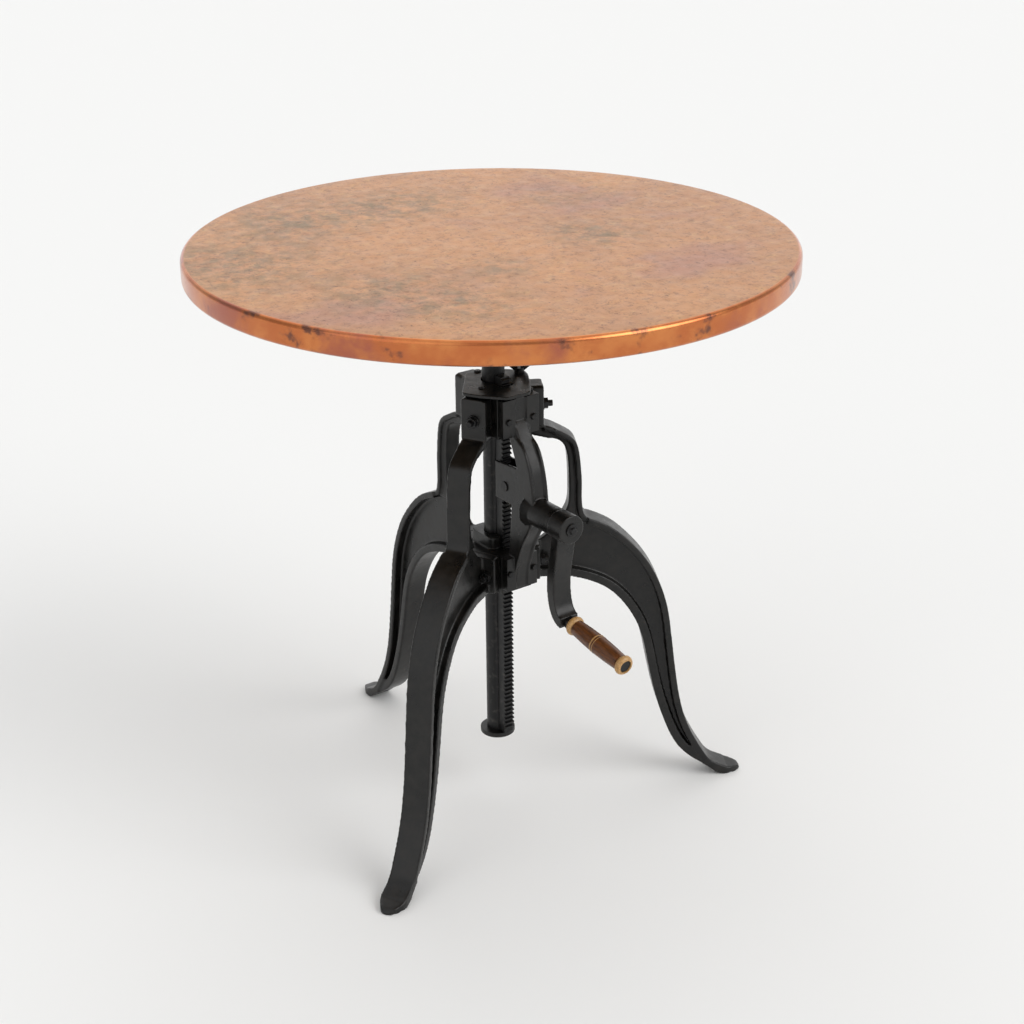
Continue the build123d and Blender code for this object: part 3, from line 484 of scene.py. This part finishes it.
gripJoint = next(joint for joint in frame["joints"] if joint["name"] == "grip_spin")
gripAxis = Vector(gripJoint["axis"])
finishes = {
    "black_iron": makeBlackIron(),
    "black_steel": makeBlackSteel(),
    "cut_steel": makeCutSteel(),
    "bronze": makeBronze(),
    "board": makeBoard(),
    "copper": makeAgedCopper(),
    "stained_beech": makeWood("stained beech, varnished", wood["stain"], wood["stainDark"], gripAxis),
    "pale_beech": makeWood("clear beech, varnished", wood["pale"], wood["paleDark"], gripAxis),
}
slotOf = {part["node"]: part["material_slot"] for part in frame["record"]["subparts"]}
bodyOf = {node: body for body, nodes in frame["record"]["behaviour"]["bodies"].items() for node in nodes}
for name, node in frame["nodes"].items():
    node.data.materials.clear()
    node.data.materials.append(finishes[slotOf[name]])
print("stage: materials")

# pieces

mergeGap = 0.000002


def mergedCopy(name):
    bm = bmesh.new()
    bm.from_mesh(frame["nodes"][name].data)
    bmesh.ops.remove_doubles(bm, verts=bm.verts, dist=mergeGap)
    return bm


def addPiece(bm, name, node, materials=None, smoothAngle=35.0):
    mesh = bpy.data.meshes.new(name)
    bm.to_mesh(mesh)
    bm.free()
    mesh.shade_smooth()
    mesh.set_sharp_from_angle(angle=math.radians(smoothAngle))
    for material in materials or [finishes[slotOf[node]]]:
        mesh.materials.append(material)
    piece = bpy.data.objects.new(name, mesh)
    bpy.context.scene.collection.objects.link(piece)
    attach(piece, bodyOf[node])
    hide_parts(node)
    return piece


casting = {
    "leg": {"voxelMm": 1.5, "smoothing": 4},
    "small": {"voxelMm": 1.0, "smoothing": 3},
    "unevenMm": 0.14,
    "unevenSizeMm": 11.0,
}


def makeCasting(name, node, voxelMm, smoothing):
    # The sharp shape is remeshed and relaxed, which rounds every edge as sand and paint do.
    bm = mergedCopy(node)
    rough = bpy.data.meshes.new(name + "Rough")
    bm.to_mesh(rough)
    bm.free()
    block = bpy.data.objects.new(name + "Rough", rough)
    bpy.context.scene.collection.objects.link(block)
    remesh = block.modifiers.new("remesh", "REMESH")
    remesh.mode = "VOXEL"
    remesh.voxel_size = voxelMm / 1000
    relax = block.modifiers.new("relax", "SMOOTH")
    relax.factor = 0.5
    relax.iterations = smoothing
    depsgraph = bpy.context.evaluated_depsgraph_get()
    made = bpy.data.meshes.new_from_object(block.evaluated_get(depsgraph))
    bpy.data.objects.remove(block)
    bm = bmesh.new()
    bm.from_mesh(made)
    bm.normal_update()
    reach = 1000 / casting["unevenSizeMm"]
    for vert in bm.verts:
        swell = noise.noise(vert.co * reach) + 0.5 * noise.noise(vert.co * reach * 2.7)
        vert.co += vert.normal * (min(swell, 0.0) * casting["unevenMm"] / 1000)
    piece = addPiece(bm, name, node, smoothAngle=60.0)
    print("  casting", name, len(piece.data.vertices), "points")
    return piece


machined = {
    "flatAngle": 0.4,
    "sharpAngle": 32.0,
    "segments": 2,
    "edgeMm": {
        "rack": 0.25, "stop_flange": 0.4, "leg_nuts": 0.5, "leg_washers": 0.25, "leg_studs": 0.5,
        "axle_nut": 0.8, "housing_screws": 0.5, "crank_bolt": 0.4, "cap_screws": 0.4,
    },
}


def makeMachined(name, node, edgeMm):
    # The true shape, with a small bevel on every sharp edge.
    bm = mergedCopy(node)
    flat, corner = math.radians(machined["flatAngle"]), math.radians(machined["sharpAngle"])
    bmesh.ops.dissolve_limit(bm, angle_limit=flat, verts=bm.verts[:], edges=bm.edges[:])
    sharp = [e for e in bm.edges if len(e.link_faces) == 2 and e.calc_face_angle() > corner]
    bmesh.ops.bevel(bm, geom=sharp, offset=edgeMm / 1000, offset_type="OFFSET",
                    segments=machined["segments"], profile=0.5,
                    affect="EDGES", clamp_overlap=True, material=-1)
    piece = addPiece(bm, name, node)
    even = piece.modifiers.new("even", "WEIGHTED_NORMAL")
    even.keep_sharp = True
    return piece


for node in ("leg_front_left", "leg_front_right", "leg_back"):
    makeCasting("cast_" + node, node, **casting["leg"])
for node in ("top_hub", "low_hub", "gear_housing", "cap_plate", "crank_arm"):
    makeCasting("cast_" + node, node, **casting["small"])
print("stage: castings")

for node, edgeMm in machined["edgeMm"].items():
    makeMachined("machined_" + node, node, edgeMm)
print("stage: machined pieces")

copperTop = {
    "rings": 30,
    "steps": 288,
    "lapMm": 16.0,
    "gaugeMm": 0.8,
    "edgeRadiusMm": 6.0,
    "bendSteps": 8,
    "dentMm": 0.10,
    "dentScale": 28.0,
}


def makeCopperTop():
    # One sheet over the board, bent round the edge and lapped a little way under it.
    low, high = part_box("copper_sheet")
    radius, bend = high.x, copperTop["edgeRadiusMm"] / 1000
    lap, gauge = copperTop["lapMm"] / 1000, copperTop["gaugeMm"] / 1000
    rings = copperTop["rings"]
    outline = [Vector(((radius - bend) * ring / rings, 0, high.z)) for ring in range(rings)]

    def corner(centre, size, start):
        for step in range(copperTop["bendSteps"] + 1):
            angle = math.radians(start - 90 * step / copperTop["bendSteps"])
            yield Vector((centre[0] + size * math.cos(angle), 0, centre[1] + size * math.sin(angle)))

    outline += corner((radius - bend, high.z - bend), bend, 90)
    outline += corner((radius - bend, low.z + bend), bend, 0)
    outline.append(Vector((radius - lap, 0, low.z)))
    outline.append(Vector((radius - lap, 0, low.z + gauge)))
    outline += reversed(list(corner((radius - bend, low.z + bend), bend - gauge, 0)))
    outline += reversed(list(corner((radius - bend, high.z - bend), bend - gauge, 90)))
    outline.append(Vector((0, 0, high.z - gauge)))
    bm = bmesh.new()
    verts = [bm.verts.new(point) for point in outline]
    edges = [bm.edges.new(pair) for pair in zip(verts, verts[1:])]
    bmesh.ops.spin(bm, geom=verts + edges, cent=(0, 0, 0), axis=(0, 0, 1), angle=2 * math.pi,
                   steps=copperTop["steps"], use_merge=True, use_duplicate=False)
    bmesh.ops.remove_doubles(bm, verts=bm.verts, dist=mergeGap)
    bmesh.ops.recalc_face_normals(bm, faces=bm.faces)
    for vert in bm.verts:
        across = math.hypot(vert.co.x, vert.co.y)
        dent = 0.5 + 0.5 * noise.noise(vert.co * copperTop["dentScale"])
        if across > radius - bend * 0.5:
            vert.co.xy *= 1 - dent * copperTop["dentMm"] / 1000 / radius
    return addPiece(bm, "copper_top", "copper_sheet", smoothAngle=50.0)


makeCopperTop()
print("stage: copper top")

# In millimetres, along the grip from its inner end.
gripShape = {
    "length": 108.0, "boreRadius": 4.05, "plugRadius": 8.3, "plugDepth": 5.0,
    "beadRadius": 13.0, "beadLength": 9.5, "beadSteps": 10,
    "endRadius": 9.6, "grooveRadius": 9.5, "lipRadius": 10.7, "lipLength": 0.8,
    "neckRadius": 10.4, "bellyRadius": 12.3, "bodySteps": 88,
    "ringPlaces": (50.0, 54.5), "ringWidth": 1.3, "ringRise": 0.3, "steps": 64,
}


def makeGrip():
    values = gripShape
    outline = []

    def addPoint(radius, along):
        outline.append((radius, along))

    def bead(start, finish, startRadius, finishRadius):
        for step in range(1, values["beadSteps"]):
            share = step / values["beadSteps"]
            swell = math.sin(math.pi * share) ** 0.6
            base = startRadius + (finishRadius - startRadius) * share
            addPoint(base + (values["beadRadius"] - base) * swell, start + (finish - start) * share)

    length, beadLength, lip = values["length"], values["beadLength"], values["lipLength"]
    neck, bodySteps = values["neckRadius"], values["bodySteps"]
    addPoint(values["boreRadius"], 0)
    addPoint(values["endRadius"], 0)
    bead(0, beadLength, values["endRadius"], values["grooveRadius"])
    addPoint(values["grooveRadius"], beadLength)
    addPoint(values["lipRadius"], beadLength + lip)
    for step in range(1, bodySteps):
        along = beadLength + lip + (length - 2 * beadLength - 2 * lip) * step / bodySteps
        share = (along - beadLength) / (length - 2 * beadLength)
        radius = neck + (values["bellyRadius"] - neck) * math.sin(math.pi * share) ** 0.9
        for ring in values["ringPlaces"]:
            if abs(along - ring) < values["ringWidth"] / 2:
                radius += values["ringRise"]
        addPoint(radius, along)
    addPoint(values["lipRadius"], length - beadLength - lip)
    addPoint(values["grooveRadius"], length - beadLength)
    bead(length - beadLength, length, values["grooveRadius"], values["endRadius"])
    addPoint(values["endRadius"], length)
    addPoint(values["plugRadius"], length)
    addPoint(values["plugRadius"], length - values["plugDepth"])
    addPoint(values["boreRadius"], length - values["plugDepth"])
    bm = bmesh.new()
    verts = [bm.verts.new((radius / 1000, 0, along / 1000)) for radius, along in outline]
    edges = [bm.edges.new(pair) for pair in zip(verts, verts[1:] + verts[:1])]
    bmesh.ops.spin(bm, geom=verts + edges, cent=(0, 0, 0), axis=(0, 0, 1), angle=2 * math.pi,
                   steps=values["steps"], use_merge=True, use_duplicate=False)
    bmesh.ops.remove_doubles(bm, verts=bm.verts, dist=mergeGap)
    bmesh.ops.recalc_face_normals(bm, faces=bm.faces)
    beads = (beadLength / 1000, (length - beadLength) / 1000)
    for face in bm.faces:
        middle = face.calc_center_median().z
        along = middle * 1000
        onRing = any(abs(along - ring) < values["ringWidth"] / 2 for ring in values["ringPlaces"])
        face.material_index = 1 if middle < beads[0] or middle > beads[1] or onRing else 0
    turn = Vector((0, 0, 1)).rotation_difference(gripAxis).to_matrix().to_4x4()
    lay = Matrix.Translation(Vector(gripJoint["pos_m"])) @ turn
    bmesh.ops.transform(bm, matrix=lay, verts=bm.verts)
    woods = [finishes["stained_beech"], finishes["pale_beech"]]
    return addPiece(bm, "turned_grip", "grip", woods, smoothAngle=40.0)


makeGrip()
print("stage: grip")
